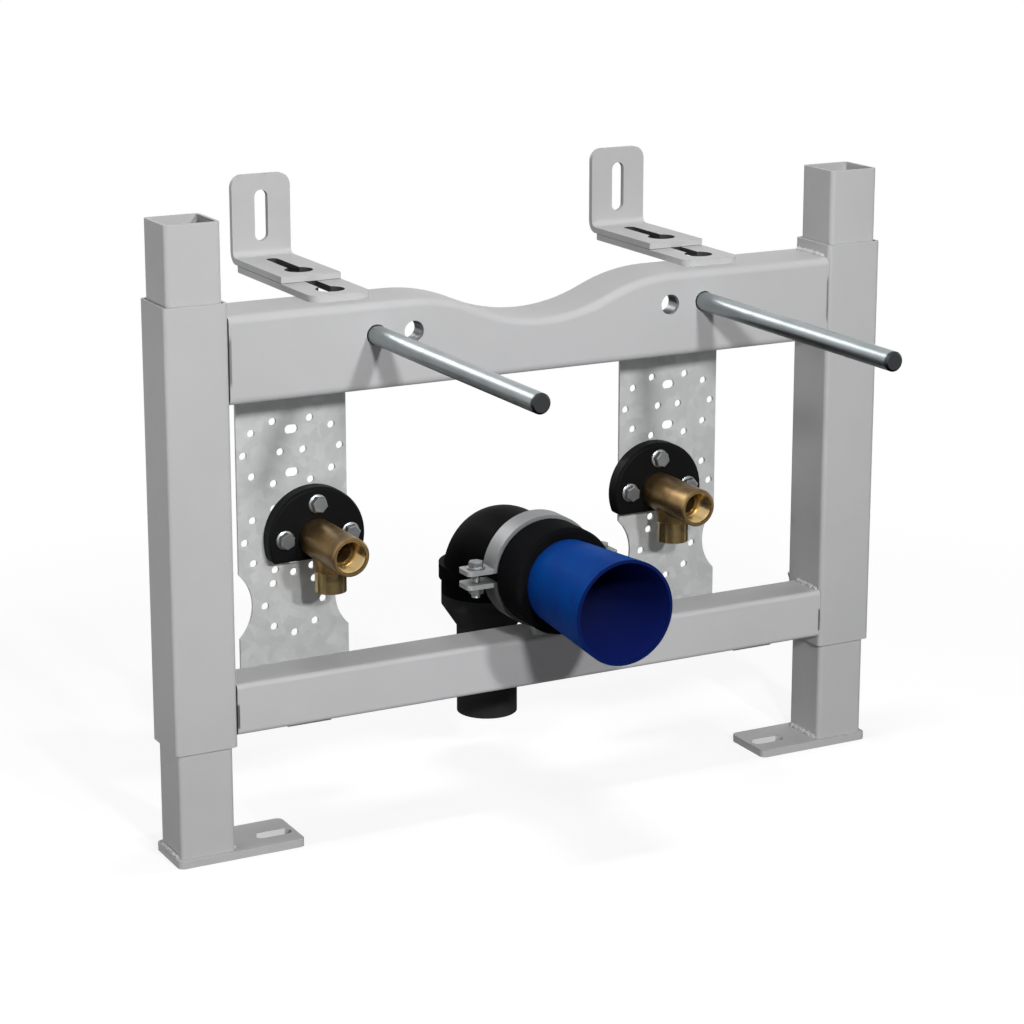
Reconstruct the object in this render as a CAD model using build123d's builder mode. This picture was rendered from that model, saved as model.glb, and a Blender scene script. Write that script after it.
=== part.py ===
from build123d import *
import os

# Bidet installation frame, millimetres, +Z up, the front towards -Y and the floor at Z = 0.
# Depths are measured backwards from the front face of the two sleeves.

# Overall layout
overall_width = 500.0
stud_reach = 208.0
wall_distance = 142.0
front_y = (stud_reach - wall_distance) / 2
sides = {"left": -1, "right": 1}

# Telescopic posts: an outer sleeve, an inner leg and a foot plate
sleeve_side = 40.0
sleeve_wall = 2.0
tube_corner = 3.0
sleeve_bottom = 72.0
sleeve_top = 345.0
leg_side = 35.0
leg_wall = 2.0
leg_top = 393.0
post_x = (overall_width - sleeve_side) / 2
post_depth = sleeve_side / 2
foot_length = 83.0
foot_thickness = 5.0
foot_corner = 4.0
foot_slot_length = 24.0
foot_slot_width = 9.0
foot_slot_from_end = 14.5
foot_slot_depth = 17.5

# Upper beam: a pressed channel, open at the back, its top dipping in the middle
beam_length = overall_width - 2 * sleeve_side
beam_bottom = 283.0
beam_top = 337.0
beam_depth = 40.0
beam_sheet = 2.5
beam_fold = 5.0
dip_half_width = 92.0
dip_depth = 20.0
dip_radius = (dip_half_width**2 + dip_depth**2) / (4 * dip_depth)

# Holes and studs that carry the sanitary ware
stud_height = 317.0
stud_spacing = 230.0
spare_hole_spacing = 180.0
stud_radius = 6.0
stud_shoulder = 1.0
stud_root_radius = 5.9
stud_tail = 22.0
stud_chamfer = 1.2
beam_hole_radius = 6.5
nut_across_flats = 19.0
nut_length = 10.0
nut_bore_radius = 6.1
hole_spacings = (stud_spacing, spare_hole_spacing)
stud_holes = [(side * spacing / 2, stud_height) for side in (-1, 1) for spacing in hole_spacings]

# Lower rail
rail_bottom = 79.0
rail_side = 32.0
rail_wall = 2.0
rail_top = rail_bottom + rail_side

# Wall brackets: a slotted strip on the beam and an angle that slides on it
bracket_x = 130.5
bracket_width = 40.0
bracket_sheet = 4.0
bracket_gap = 0.3
bracket_bend = 4.0
base_front = 14.0
base_back = 137.0
base_corner = 8.0
base_keyholes = [(33.0, 61.0), (80.0, 113.0)]
bracket_front = 61.0
bracket_top = 397.5
bracket_corner = 8.0
bracket_keyhole = (80.0, 121.0)
keyhole_radius = 9.0
keyhole_slot_width = 8.0
wall_slot_width = 9.0
wall_slot_bottom = 354.4
wall_slot_top = 387.4

# Perforated plates behind the rail and the flanges that carry them
plate_x = 137.5
plate_width = 75.0
plate_depth = 80.0
plate_sheet = 2.0
plate_top = beam_bottom + beam_sheet + plate_sheet
plate_bottom = rail_bottom - plate_sheet
upper_flange_front = 7.0
lower_flange_front = 6.0
lower_flange_width = 29.0
plate_hole_radius = 2.5
oval_length = 9.0
oval_width = 6.0
oval_offset = 13.9
inner_hole_offset = 7.8
wide_ring = [(33.0, 0.0), (27.3, 14.0), (12.7, 20.0)]
wide_ring_heights = (230.5, 174.2)
round_ring_height = 131.3
round_ring_radius = 20.0
round_ring_count = 8
waist_radius = 29.0
waist_depth = 9.0
waist_height = 133.0

# Water elbows and the half-round holders that fix them to the plates
elbow_x = 125.0
elbow_height = 174.5
holder_radius = 33.0
holder_drop = 13.8
holder_thickness = 10.0
holder_corner = 3.0
holder_edge = 2.0
fit_clearance = 0.5
flange_radius = 26.0
flange_drop = 10.0
flange_thickness = 4.0
elbow_radius = 12.5
elbow_front = 19.0
elbow_edge = 1.0
elbow_bore_radius = 10.0
elbow_bore_length = 16.0
elbow_way_radius = 7.0
outlet_depth = 51.0
outlet_radius = 10.0
outlet_bottom = 145.0
outlet_neck_bottom = 158.0
outlet_neck_radius = 11.0

# Drain: reducer below, bend, rubber seal and protective cap at the front
drain_depth = 80.0
drain_height = 154.0
drain_bend_radius = 32.0
drain_radius = 30.0
drain_bore_radius = 26.5
spigot_radius = 20.0
spigot_bore_radius = 17.5
spigot_bottom = 37.5
spigot_top = 97.0
cone_top = 112.0
reducer_top = 120.0
collar_bottom = 130.0
collar_top = 140.0
collar_radius = 31.6
socket_radius = 33.5
socket_back = 18.0
socket_front = -2.0
seal_radius = 34.5
seal_front = -28.0
seal_bore_radius = 28.0
seal_edge = 3.0
cap_back = -10.0
cap_front = -101.7
cap_neck_radius = 27.5
cap_rim_radius = 33.0
cap_wall = 2.0

# Pipe clamp on the rail
clamp_front = 0.0
clamp_width = 15.0
clamp_thickness = 2.8
clamp_clearance = 0.1
clamp_split = 3.0
clamp_ear_reach = 54.0
clamp_ear_thickness = 3.0
clamp_ear_corner = 3.0
clamp_bore_radius = socket_radius + clamp_clearance
clamp_radius = clamp_bore_radius + clamp_thickness
stem_radius = 6.0


def behind(distance):
    return front_y + distance


def front_plane(distance):
    return Plane.XZ.offset(-behind(distance))


def save(piece, name):
    piece.part.label = name
    export_step(piece.part, f"parts/{name}.step")


def square_tube(name, plane, centre, side, wall, length):
    with BuildPart() as tube:
        with BuildSketch(plane):
            with Locations(centre):
                RectangleRounded(side, side, tube_corner)
                RectangleRounded(side - 2 * wall, side - 2 * wall, tube_corner - wall, mode=Mode.SUBTRACT)
        extrude(amount=length)
    save(tube, name)


def foot_plate(name, side):
    inner_x = side * (overall_width / 2 - foot_length)
    with BuildPart() as foot:
        with BuildSketch():
            with Locations((inner_x + side * foot_length / 2, behind(post_depth))):
                RectangleRounded(foot_length, sleeve_side, foot_corner)
            with Locations((inner_x + side * foot_slot_from_end, behind(foot_slot_depth))):
                SlotOverall(foot_slot_length, foot_slot_width, mode=Mode.SUBTRACT)
        extrude(amount=foot_thickness)
    save(foot, name)


def beam_outline(plane, half_length, inset):
    top = beam_top - inset
    bottom = beam_bottom + inset
    along = (dip_radius - inset) / (2 * dip_radius)
    turn_x = dip_half_width * (1 - along)
    turn_z = beam_top - dip_radius + along * (2 * dip_radius - dip_depth)
    with BuildSketch(plane) as outline:
        with BuildLine():
            Polyline((-dip_half_width, top), (-half_length, top), (-half_length, bottom),
                     (half_length, bottom), (half_length, top), (dip_half_width, top))
            TangentArc((-dip_half_width, top), (-turn_x, turn_z), tangent=(1, 0))
            ThreePointArc((-turn_x, turn_z), (0, top - dip_depth), (turn_x, turn_z))
            TangentArc((dip_half_width, top), (turn_x, turn_z), tangent=(-1, 0))
        make_face()
    return outline.sketch


def fold_edges(face):
    return [edge for edge in face.edges() if abs(edge.center().X) < beam_length / 2 - beam_fold]


def upper_beam():
    outer = beam_outline(front_plane(0), beam_length / 2, 0)
    inner = beam_outline(front_plane(beam_sheet), beam_length / 2 + beam_sheet, beam_sheet)
    with BuildPart() as beam:
        extrude(outer, amount=-beam_depth)
        fillet(fold_edges(beam.faces().sort_by(Axis.Y)[0]), beam_fold)
        extrude(inner, amount=-beam_depth, mode=Mode.SUBTRACT)
        inner_web = beam.faces().filter_by(Axis.Y).sort_by(Axis.Y)[1]
        fillet(fold_edges(inner_web), beam_fold - beam_sheet)
        with BuildSketch(front_plane(0)):
            with Locations(stud_holes):
                Circle(beam_hole_radius)
        extrude(amount=-beam_sheet, mode=Mode.SUBTRACT)
    save(beam, "upper_beam")


def stud_nuts():
    with BuildPart() as nuts:
        with BuildSketch(front_plane(beam_sheet)):
            with Locations(stud_holes):
                RegularPolygon(nut_across_flats / 2, 6, major_radius=False)
                Circle(nut_bore_radius, mode=Mode.SUBTRACT)
        extrude(amount=-nut_length)
    save(nuts, "stud_nuts")


def stud(name, side):
    with BuildPart() as rod:
        with BuildSketch(front_plane(-stud_reach)):
            with Locations((side * stud_spacing / 2, stud_height)):
                Circle(stud_radius)
        extrude(amount=-(stud_reach - stud_shoulder))
        with BuildSketch(front_plane(-stud_shoulder)):
            with Locations((side * stud_spacing / 2, stud_height)):
                Circle(stud_root_radius)
        extrude(amount=-(stud_shoulder + stud_tail))
        rims = rod.edges().filter_by(GeomType.CIRCLE).sort_by(Axis.Y)
        chamfer([rims[0], rims[-1]], stud_chamfer)
    save(rod, name)


def keyhole(x, ends):
    with Locations((x, behind(ends[0]))):
        Circle(keyhole_radius)
    with Locations((x, behind((ends[0] + ends[1]) / 2))):
        SlotOverall(ends[1] - ends[0] + keyhole_slot_width, keyhole_slot_width, rotation=90)


def bracket_base(name, side):
    with BuildPart() as base:
        with BuildSketch(Plane.XY.offset(beam_top)):
            with Locations((side * bracket_x, behind((base_front + base_back) / 2))):
                RectangleRounded(bracket_width, base_back - base_front, base_corner)
        extrude(amount=bracket_sheet)
        with BuildSketch(Plane.XY.offset(beam_top)):
            for ends in base_keyholes:
                keyhole(side * bracket_x, ends)
        extrude(amount=bracket_sheet, mode=Mode.SUBTRACT)
    save(base, name)


def wall_bracket(name, side):
    x = side * bracket_x
    under = beam_top + bracket_sheet + bracket_gap
    over = under + bracket_sheet
    front = behind(bracket_front)
    back = behind(wall_distance)
    inside = back - bracket_sheet
    with BuildPart() as bracket:
        with BuildSketch(Plane.YZ.offset(x - bracket_width / 2)):
            with BuildLine():
                FilletPolyline((front, under), (back, under), (back, bracket_top),
                               radius=bracket_bend + bracket_sheet)
                FilletPolyline((front, over), (inside, over), (inside, bracket_top), radius=bracket_bend)
                Line((front, under), (front, over))
                Line((back, bracket_top), (inside, bracket_top))
            make_face()
        extrude(amount=bracket_width)
        fillet(bracket.faces().sort_by(Axis.Z)[-1].edges().filter_by(Axis.Y), bracket_corner)
        with BuildSketch(Plane.XY.offset(under)):
            keyhole(x, bracket_keyhole)
        extrude(amount=bracket_sheet, mode=Mode.SUBTRACT)
        with BuildSketch(front_plane(wall_distance - bracket_sheet)):
            with Locations((x, (wall_slot_bottom + wall_slot_top) / 2)):
                SlotOverall(wall_slot_top - wall_slot_bottom, wall_slot_width, rotation=90)
        extrude(amount=-bracket_sheet, mode=Mode.SUBTRACT)
    save(bracket, name)


def mounting_plate(name, side):
    x = side * plate_x
    waist_x = plate_width / 2 + waist_radius - waist_depth
    with BuildPart() as plate:
        with BuildSketch(front_plane(plate_depth)):
            with Locations((x, (plate_top + plate_bottom) / 2)):
                Rectangle(plate_width, plate_top - plate_bottom)
            with Locations([(x - waist_x, waist_height), (x + waist_x, waist_height)]):
                Circle(waist_radius, mode=Mode.SUBTRACT)
            for height in wide_ring_heights:
                ring = {(mx * dx, mz * dz) for dx, dz in wide_ring for mx in (-1, 1) for mz in (-1, 1)}
                ring.update({(-inner_hole_offset, 0.0), (inner_hole_offset, 0.0)})
                with Locations([(x + dx, height + dz) for dx, dz in sorted(ring)]):
                    Circle(plate_hole_radius, mode=Mode.SUBTRACT)
                with Locations([(x, height - oval_offset), (x, height + oval_offset)]):
                    SlotOverall(oval_length, oval_width, mode=Mode.SUBTRACT)
            with Locations((x, round_ring_height)):
                with PolarLocations(round_ring_radius, round_ring_count):
                    Circle(plate_hole_radius, mode=Mode.SUBTRACT)
        extrude(amount=-plate_sheet)
    save(plate, name)


def plate_flange(name, side, bottom, front, width):
    outer_x = plate_x + plate_width / 2
    with BuildPart() as flange:
        with BuildSketch(Plane.XY.offset(bottom)):
            with Locations((side * (outer_x - width / 2), behind((front + plate_depth) / 2))):
                Rectangle(width, plate_depth - front)
        extrude(amount=plate_sheet)
    save(flange, name)


def half_round(plane, x, radius, drop, corner):
    with BuildSketch(plane) as outline:
        with Locations((x, elbow_height)):
            Circle(radius)
        with Locations((x, elbow_height - drop - radius / 2)):
            Rectangle(2 * radius, radius, mode=Mode.SUBTRACT)
        fillet(outline.vertices(), corner)
    return outline.sketch


def elbow_holder(name, side):
    x = side * elbow_x
    front = plate_depth - holder_thickness
    pocket_plane = front_plane(plate_depth - flange_thickness)
    outline = half_round(front_plane(front), x, holder_radius, holder_drop, holder_corner)
    pocket = half_round(pocket_plane, x, flange_radius + fit_clearance, flange_drop + fit_clearance,
                        holder_corner)
    with BuildPart() as holder:
        extrude(outline, amount=-holder_thickness)
        fillet(holder.faces().sort_by(Axis.Y)[0].edges(), holder_edge)
        extrude(pocket, amount=-flange_thickness, mode=Mode.SUBTRACT)
        with BuildSketch(front_plane(front)):
            with Locations((x, elbow_height)):
                Circle(elbow_radius + fit_clearance)
        extrude(amount=-holder_thickness, mode=Mode.SUBTRACT)
    save(holder, name)


def wall_elbow(name, side):
    x = side * elbow_x
    flange_plane = front_plane(plate_depth - flange_thickness)
    flange = half_round(flange_plane, x, flange_radius, flange_drop, holder_corner)
    outlet_plane = Plane.XY.offset(outlet_bottom)
    neck_cone = outlet_neck_radius - outlet_radius
    with BuildPart() as elbow:
        with BuildSketch(front_plane(elbow_front)):
            with Locations((x, elbow_height)):
                Circle(elbow_radius)
        extrude(amount=-(plate_depth - elbow_front))
        chamfer(elbow.faces().sort_by(Axis.Y)[0].edges(), elbow_edge)
        with BuildSketch(outlet_plane):
            with Locations((x, behind(outlet_depth))):
                Circle(outlet_radius)
        extrude(amount=elbow_height - outlet_bottom)
        with BuildSketch(Plane.XY.offset(outlet_neck_bottom)):
            with Locations((x, behind(outlet_depth))):
                Circle(outlet_radius)
        extrude(amount=neck_cone, taper=-45)
        with BuildSketch(Plane.XY.offset(outlet_neck_bottom + neck_cone)):
            with Locations((x, behind(outlet_depth))):
                Circle(outlet_neck_radius)
        extrude(amount=elbow_height - outlet_neck_bottom - neck_cone)
        extrude(flange, amount=-flange_thickness)
        with BuildSketch(front_plane(elbow_front)):
            with Locations((x, elbow_height)):
                Circle(elbow_bore_radius)
        extrude(amount=-elbow_bore_length, mode=Mode.SUBTRACT)
        with BuildSketch(front_plane(elbow_front)):
            with Locations((x, elbow_height)):
                Circle(elbow_way_radius)
        extrude(amount=-(outlet_depth - elbow_front), mode=Mode.SUBTRACT)
        with BuildSketch(outlet_plane):
            with Locations((x, behind(outlet_depth))):
                Circle(elbow_way_radius)
        extrude(amount=elbow_height - outlet_bottom, mode=Mode.SUBTRACT)
    save(elbow, name)


def turned(name, plane, axis, outline):
    with BuildPart() as body:
        with BuildSketch(plane):
            with BuildLine():
                Polyline(*outline, close=True)
            make_face()
        revolve(axis=axis)
    save(body, name)


def drain_reducer():
    centre_y = behind(drain_depth)
    outline = [(spigot_bore_radius, spigot_bottom), (spigot_radius, spigot_bottom),
               (spigot_radius, spigot_top), (drain_radius, cone_top), (drain_radius, reducer_top),
               (drain_bore_radius, reducer_top), (drain_bore_radius, cone_top),
               (spigot_bore_radius, spigot_top)]
    turned("drain_reducer", front_plane(drain_depth), Axis((0, centre_y, 0), (0, 0, 1)), outline)


def drain_bend():
    centre = (0, behind(drain_depth))
    bend_start = drain_height - drain_bend_radius
    mouth = (0, drain_height)
    with BuildLine(Plane.YZ) as path:
        rise = Line((centre[1], reducer_top), (centre[1], bend_start))
        bend = TangentArc(rise @ 1, (centre[1] - drain_bend_radius, drain_height), tangent=rise % 1)
        Line(bend @ 1, (behind(socket_front), drain_height))
    with BuildPart() as pipe:
        with BuildSketch(Plane.XY.offset(reducer_top)):
            with Locations(centre):
                Circle(drain_radius)
        sweep(path=path.wire())
        with BuildSketch(Plane.XY.offset(collar_bottom)):
            with Locations(centre):
                Circle(collar_radius)
        extrude(amount=collar_top - collar_bottom)
        with BuildSketch(front_plane(socket_front)):
            with Locations(mouth):
                Circle(socket_radius)
        extrude(amount=-(socket_back - socket_front))
        with BuildSketch(Plane.XY.offset(reducer_top)):
            with Locations(centre):
                Circle(drain_bore_radius)
        sweep(path=path.wire(), mode=Mode.SUBTRACT)
        with BuildSketch(front_plane(socket_front)):
            with Locations(mouth):
                Circle(seal_bore_radius)
        extrude(amount=-(socket_back - socket_front), mode=Mode.SUBTRACT)
    save(pipe, "drain_bend")


def drain_seal():
    with BuildPart() as seal:
        with BuildSketch(front_plane(seal_front)):
            with Locations((0, drain_height)):
                Circle(seal_radius)
                Circle(seal_bore_radius, mode=Mode.SUBTRACT)
        extrude(amount=-(socket_front - seal_front))
        front_edges = seal.faces().sort_by(Axis.Y)[0].edges()
        fillet(front_edges.sort_by(SortBy.RADIUS)[-1], seal_edge)
    save(seal, "drain_seal")


def protective_cap():
    rim = drain_height + cap_rim_radius
    neck = drain_height + cap_neck_radius
    outline = [(behind(cap_back), drain_height), (behind(cap_back), neck), (behind(seal_front), neck),
               (behind(cap_front), rim), (behind(cap_front), rim - cap_wall),
               (behind(seal_front), neck - cap_wall), (behind(cap_back - cap_wall), neck - cap_wall),
               (behind(cap_back - cap_wall), drain_height)]
    turned("protective_cap", Plane.YZ, Axis((0, 0, drain_height), (0, 1, 0)), outline)


def clamp_half(name, up):
    ear_low = drain_height + up * clamp_split
    ear_x = (clamp_ear_reach + socket_radius) / 2
    with BuildPart() as half:
        with BuildSketch(front_plane(clamp_front)):
            with Locations((0, drain_height)):
                Circle(clamp_radius)
            with Locations((0, ear_low + up * clamp_ear_thickness / 2)):
                Rectangle(2 * clamp_ear_reach, clamp_ear_thickness)
            with Locations((0, drain_height)):
                Circle(clamp_bore_radius, mode=Mode.SUBTRACT)
            with Locations((0, ear_low - up * clamp_radius)):
                Rectangle(2 * clamp_radius, 2 * clamp_radius, mode=Mode.SUBTRACT)
        extrude(amount=-clamp_width)
        ear_edges = half.edges().filter_by(Axis.Z).filter_by(lambda edge: abs(edge.center().X) > ear_x)
        fillet(ear_edges, clamp_ear_corner)
    save(half, name)


def clamp_stem():
    with BuildPart() as stem:
        with BuildSketch(Plane.XY.offset(rail_top)):
            with Locations((0, behind(clamp_front + clamp_width / 2))):
                Circle(stem_radius)
        extrude(amount=drain_height - socket_radius - rail_top)
        with BuildSketch(front_plane(clamp_front)):
            with Locations((0, drain_height)):
                Circle(clamp_radius)
        extrude(amount=-clamp_width, mode=Mode.SUBTRACT)
    save(stem, "clamp_stem")


os.makedirs("parts", exist_ok=True)
for side_name, direction in sides.items():
    post = (direction * post_x, behind(post_depth))
    square_tube(f"{side_name}_sleeve", Plane.XY.offset(sleeve_bottom), post, sleeve_side, sleeve_wall,
                sleeve_top - sleeve_bottom)
    square_tube(f"{side_name}_leg", Plane.XY.offset(foot_thickness), post, leg_side, leg_wall,
                leg_top - foot_thickness)
    foot_plate(f"{side_name}_foot_plate", direction)
    stud(f"{side_name}_stud", direction)
    bracket_base(f"{side_name}_bracket_base", direction)
    wall_bracket(f"{side_name}_wall_bracket", direction)
    mounting_plate(f"{side_name}_mounting_plate", direction)
    plate_flange(f"{side_name}_plate_upper_flange", direction, plate_top - plate_sheet, upper_flange_front,
                 plate_width)
    plate_flange(f"{side_name}_plate_lower_flange", direction, plate_bottom, lower_flange_front,
                 lower_flange_width)
    elbow_holder(f"{side_name}_elbow_holder", direction)
    wall_elbow(f"{side_name}_wall_elbow", direction)
upper_beam()
stud_nuts()
rail_centre = (behind(rail_side / 2), rail_bottom + rail_side / 2)
square_tube("lower_rail", Plane.YZ.offset(-beam_length / 2), rail_centre, rail_side, rail_wall, beam_length)
drain_reducer()
drain_bend()
drain_seal()
protective_cap()
clamp_half("clamp_upper_half", 1)
clamp_half("clamp_lower_half", -1)
clamp_stem()
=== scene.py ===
import math
import bmesh
import bpy
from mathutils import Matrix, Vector


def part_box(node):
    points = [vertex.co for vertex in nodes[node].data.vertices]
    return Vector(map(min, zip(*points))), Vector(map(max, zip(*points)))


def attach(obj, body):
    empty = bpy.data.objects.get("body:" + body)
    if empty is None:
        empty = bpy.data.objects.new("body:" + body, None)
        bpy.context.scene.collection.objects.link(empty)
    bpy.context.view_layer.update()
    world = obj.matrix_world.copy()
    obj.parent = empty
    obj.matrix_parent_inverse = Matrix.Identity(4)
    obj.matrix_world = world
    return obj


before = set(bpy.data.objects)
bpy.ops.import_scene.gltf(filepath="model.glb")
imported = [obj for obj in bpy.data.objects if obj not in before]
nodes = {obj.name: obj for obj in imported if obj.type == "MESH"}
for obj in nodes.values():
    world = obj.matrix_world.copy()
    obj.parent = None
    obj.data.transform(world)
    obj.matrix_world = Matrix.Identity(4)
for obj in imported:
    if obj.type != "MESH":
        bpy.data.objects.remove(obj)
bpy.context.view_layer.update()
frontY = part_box("left_sleeve")[0][1]  # front face of the posts
sides = (("left", -1), ("right", 1))
print("frame loaded:", len(nodes), "nodes")


def at(x, depth, z):  # millimetres, depth counted back from the front face of the posts
    return Vector((x / 1000, frontY + depth / 1000, z / 1000))


# shader helpers
def addNode(tree, kind, place, **settings):
    node = tree.nodes.new(kind)
    node.location = place
    for key, value in settings.items():
        setattr(node, key, value)
    return node


def setSockets(node, **values):  # an underscore stands for a space in a socket's name
    for key, value in values.items():
        node.inputs[key.replace("_", " ")].default_value = value
    return node


def feed(tree, socket, term):  # a term is a number or the output of another node
    if isinstance(term, float):
        socket.default_value = term
    else:
        tree.links.new(term, socket)


def addMath(tree, operation, place, *terms, **settings):
    node = addNode(tree, "ShaderNodeMath", place, operation=operation, **settings)
    for socket, term in zip(node.inputs, terms):
        feed(tree, socket, term)
    return node.outputs[0]


def smoothRange(tree, place, value, **limits):
    ramp = addNode(tree, "ShaderNodeMapRange", place, interpolation_type="SMOOTHSTEP")
    tree.links.new(value, ramp.inputs["Value"])
    for key, limit in limits.items():
        feed(tree, ramp.inputs[key.replace("_", " ")], limit)
    return ramp.outputs["Result"]


def objectAxes(tree, place):  # X, Y and Z of the object's own coordinates
    coords = addNode(tree, "ShaderNodeTexCoord", place)
    axes = addNode(tree, "ShaderNodeSeparateXYZ", (place[0] + 200, place[1]))
    tree.links.new(coords.outputs["Object"], axes.inputs["Vector"])
    return axes.outputs


toneOutputs = {"Colour": "NodeSocketColor", "Mask": "NodeSocketFloat"}
reliefOutputs = {"Height": "NodeSocketFloat", "Mask": "NodeSocketFloat"}


def newGroup(name, greys, numbers, outputs=toneOutputs):  # colour inputs start as greys
    group = bpy.data.node_groups.new(name, "ShaderNodeTree")
    for label, grey in greys.items():
        socket = group.interface.new_socket(label, in_out="INPUT", socket_type="NodeSocketColor")
        socket.default_value = (grey, grey, grey, 1.0)
    for label, number in numbers.items():
        socket = group.interface.new_socket(label, in_out="INPUT", socket_type="NodeSocketFloat")
        socket.default_value = number
    for label, kind in outputs.items():
        group.interface.new_socket(label, in_out="OUTPUT", socket_type=kind)
    source = addNode(group, "NodeGroupInput", (-1500, 0))
    sink = addNode(group, "NodeGroupOutput", (700, 0))
    return group, source.outputs, sink.inputs


def mixTone(group, source, sink, secondColour, mask):  # the second colour shows where the mask is 1
    tone = addNode(group, "ShaderNodeMix", (400, 50), data_type="RGBA")
    link = group.links.new
    link(mask, tone.inputs["Factor"])
    link(source["Colour"], tone.inputs["A"])
    link(source[secondColour], tone.inputs["B"])
    link(tone.outputs["Result"], sink["Colour"])
    link(mask, sink["Mask"])
    return group


# fine surface relief, for paint, plastic, rubber and metal
def makeReliefGroup():
    group, source, sink = newGroup("surfaceRelief", {}, {"Grain Size": 1.0, "Waviness": 0.3}, reliefOutputs)
    coords = addNode(group, "ShaderNodeTexCoord", (-900, -200))
    fine = setSockets(addNode(group, "ShaderNodeTexNoise", (-450, 150)), Detail=3.0, Roughness=0.6)
    broad = setSockets(addNode(group, "ShaderNodeTexNoise", (-450, -150)), Scale=60.0, Detail=2.0)
    mixed = addNode(group, "ShaderNodeMix", (0, 0), data_type="FLOAT")
    link = group.links.new
    link(coords.outputs["Object"], fine.inputs["Vector"])
    link(coords.outputs["Object"], broad.inputs["Vector"])
    link(addMath(group, "DIVIDE", (-700, 100), 1000.0, source["Grain Size"]), fine.inputs["Scale"])
    link(source["Waviness"], mixed.inputs["Factor"])
    link(fine.outputs["Fac"], mixed.inputs["A"])
    link(broad.outputs["Fac"], mixed.inputs["B"])
    link(mixed.outputs["Result"], sink["Height"])
    link(fine.outputs["Fac"], sink["Mask"])
    return group


# broad cloudy tone, for handling marks and uneven coats
def makeCloudGroup():
    group, source, sink = newGroup("cloudyTone", {"Colour": 0.5, "Second Colour": 0.4},
                                   {"Patch Rate": 14.0, "Amount": 0.5})
    coords = addNode(group, "ShaderNodeTexCoord", (-900, -250))
    cloud = setSockets(addNode(group, "ShaderNodeTexNoise", (-600, -100)), Detail=5.0, Roughness=0.62)
    group.links.new(coords.outputs["Object"], cloud.inputs["Vector"])
    group.links.new(source["Patch Rate"], cloud.inputs["Scale"])
    spread = smoothRange(group, (-350, -100), cloud.outputs["Fac"], From_Min=0.38, From_Max=0.66)
    amount = addMath(group, "MULTIPLY", (-100, -100), spread, source["Amount"])
    return mixTone(group, source, sink, "Second Colour", amount)


# edges in another tone where a coat is rubbed thin; on the grey paint also a painted highlight along rounded
# edges, on the blue cap painted shade along its edges
def makeEdgeGroup():
    group, source, sink = newGroup("edgeWearAndPaintedLight", {"Colour": 0.5, "Edge Colour": 0.6},
                                   {"Width": 0.0012, "Amount": 0.5})
    geometry = addNode(group, "ShaderNodeNewGeometry", (-900, -250))
    rounded = addNode(group, "ShaderNodeBevel", (-700, -100), samples=4)
    facing = addNode(group, "ShaderNodeVectorMath", (-500, -150), operation="DOT_PRODUCT")
    coords = addNode(group, "ShaderNodeTexCoord", (-900, -450))
    breakUp = setSockets(addNode(group, "ShaderNodeTexNoise", (-500, -420)), Scale=120.0, Detail=4.0)
    link = group.links.new
    link(source["Width"], rounded.inputs["Radius"])
    link(rounded.outputs["Normal"], facing.inputs[0])
    link(geometry.outputs["Normal"], facing.inputs[1])
    link(coords.outputs["Object"], breakUp.inputs["Vector"])
    edge = smoothRange(group, (-300, -150), facing.outputs["Value"], From_Min=0.995, From_Max=0.86)
    patchy = addMath(group, "MULTIPLY", (-100, -250), edge, breakUp.outputs["Fac"])
    amount = addMath(group, "MULTIPLY", (100, -200), patchy, source["Amount"], use_clamp=True)
    return mixTone(group, source, sink, "Edge Colour", amount)


# painted shade in holes, slits and inner corners, wherever ambient occlusion finds them
def makeCavityGroup():
    group, source, sink = newGroup("cavityShade", {"Colour": 0.5, "Cavity Colour": 0.05},
                                   {"Reach": 0.01, "Open": 0.7, "Closed": 0.3})
    shelter = addNode(group, "ShaderNodeAmbientOcclusion", (-600, -150), samples=8)
    group.links.new(source["Reach"], shelter.inputs["Distance"])
    cavity = smoothRange(group, (-300, -150), shelter.outputs["AO"],
                         From_Min=source["Open"], From_Max=source["Closed"])
    return mixTone(group, source, sink, "Cavity Colour", cavity)


# painted tone on the walls of punched slots and keyholes, on both sides of the frame: painted shade in the
# bracket keyholes, painted light in the foot slots
def makePunchGroup():
    group, source, sink = newGroup("punchedWallLightAndShade", {"Colour": 0.5, "Wall Colour": 0.04},
                                   {"Centre X": 0.1, "Half Width": 0.01, "Front": 0.0, "Back": 0.1})
    axes = objectAxes(group, (-900, -250))
    geometry = addNode(group, "ShaderNodeNewGeometry", (-900, -550))
    slope = addNode(group, "ShaderNodeSeparateXYZ", (-700, -550))
    group.links.new(geometry.outputs["Normal"], slope.inputs["Vector"])
    side = addMath(group, "ABSOLUTE", (-500, -100), axes["X"])
    near = addMath(group, "COMPARE", (-300, -100), side, source["Centre X"], source["Half Width"])
    behind = addMath(group, "GREATER_THAN", (-300, -250), axes["Y"], source["Front"])
    before = addMath(group, "LESS_THAN", (-300, -400), axes["Y"], source["Back"])
    upright = addMath(group, "COMPARE", (-300, -550), slope.outputs["Z"], 0.0, 0.3)
    first = addMath(group, "MULTIPLY", (-100, -150), near, behind)
    second = addMath(group, "MULTIPLY", (-100, -400), before, upright)
    wall = addMath(group, "MULTIPLY", (100, -250), first, second)
    return mixTone(group, source, sink, "Wall Colour", wall)


# another tone towards the front end of a piece, used for painted shade at the stud tips and at the rim of the
# cap
def makeEndGroup():
    group, source, sink = newGroup("endBandShade", {"Colour": 0.5, "End Colour": 0.05}, {"Full": 0.0, "Fade": 0.0})
    axes = objectAxes(group, (-900, -200))
    band = smoothRange(group, (-400, -200), axes["Y"], From_Min=source["Fade"], From_Max=source["Full"])
    return mixTone(group, source, sink, "End Colour", band)
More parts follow.
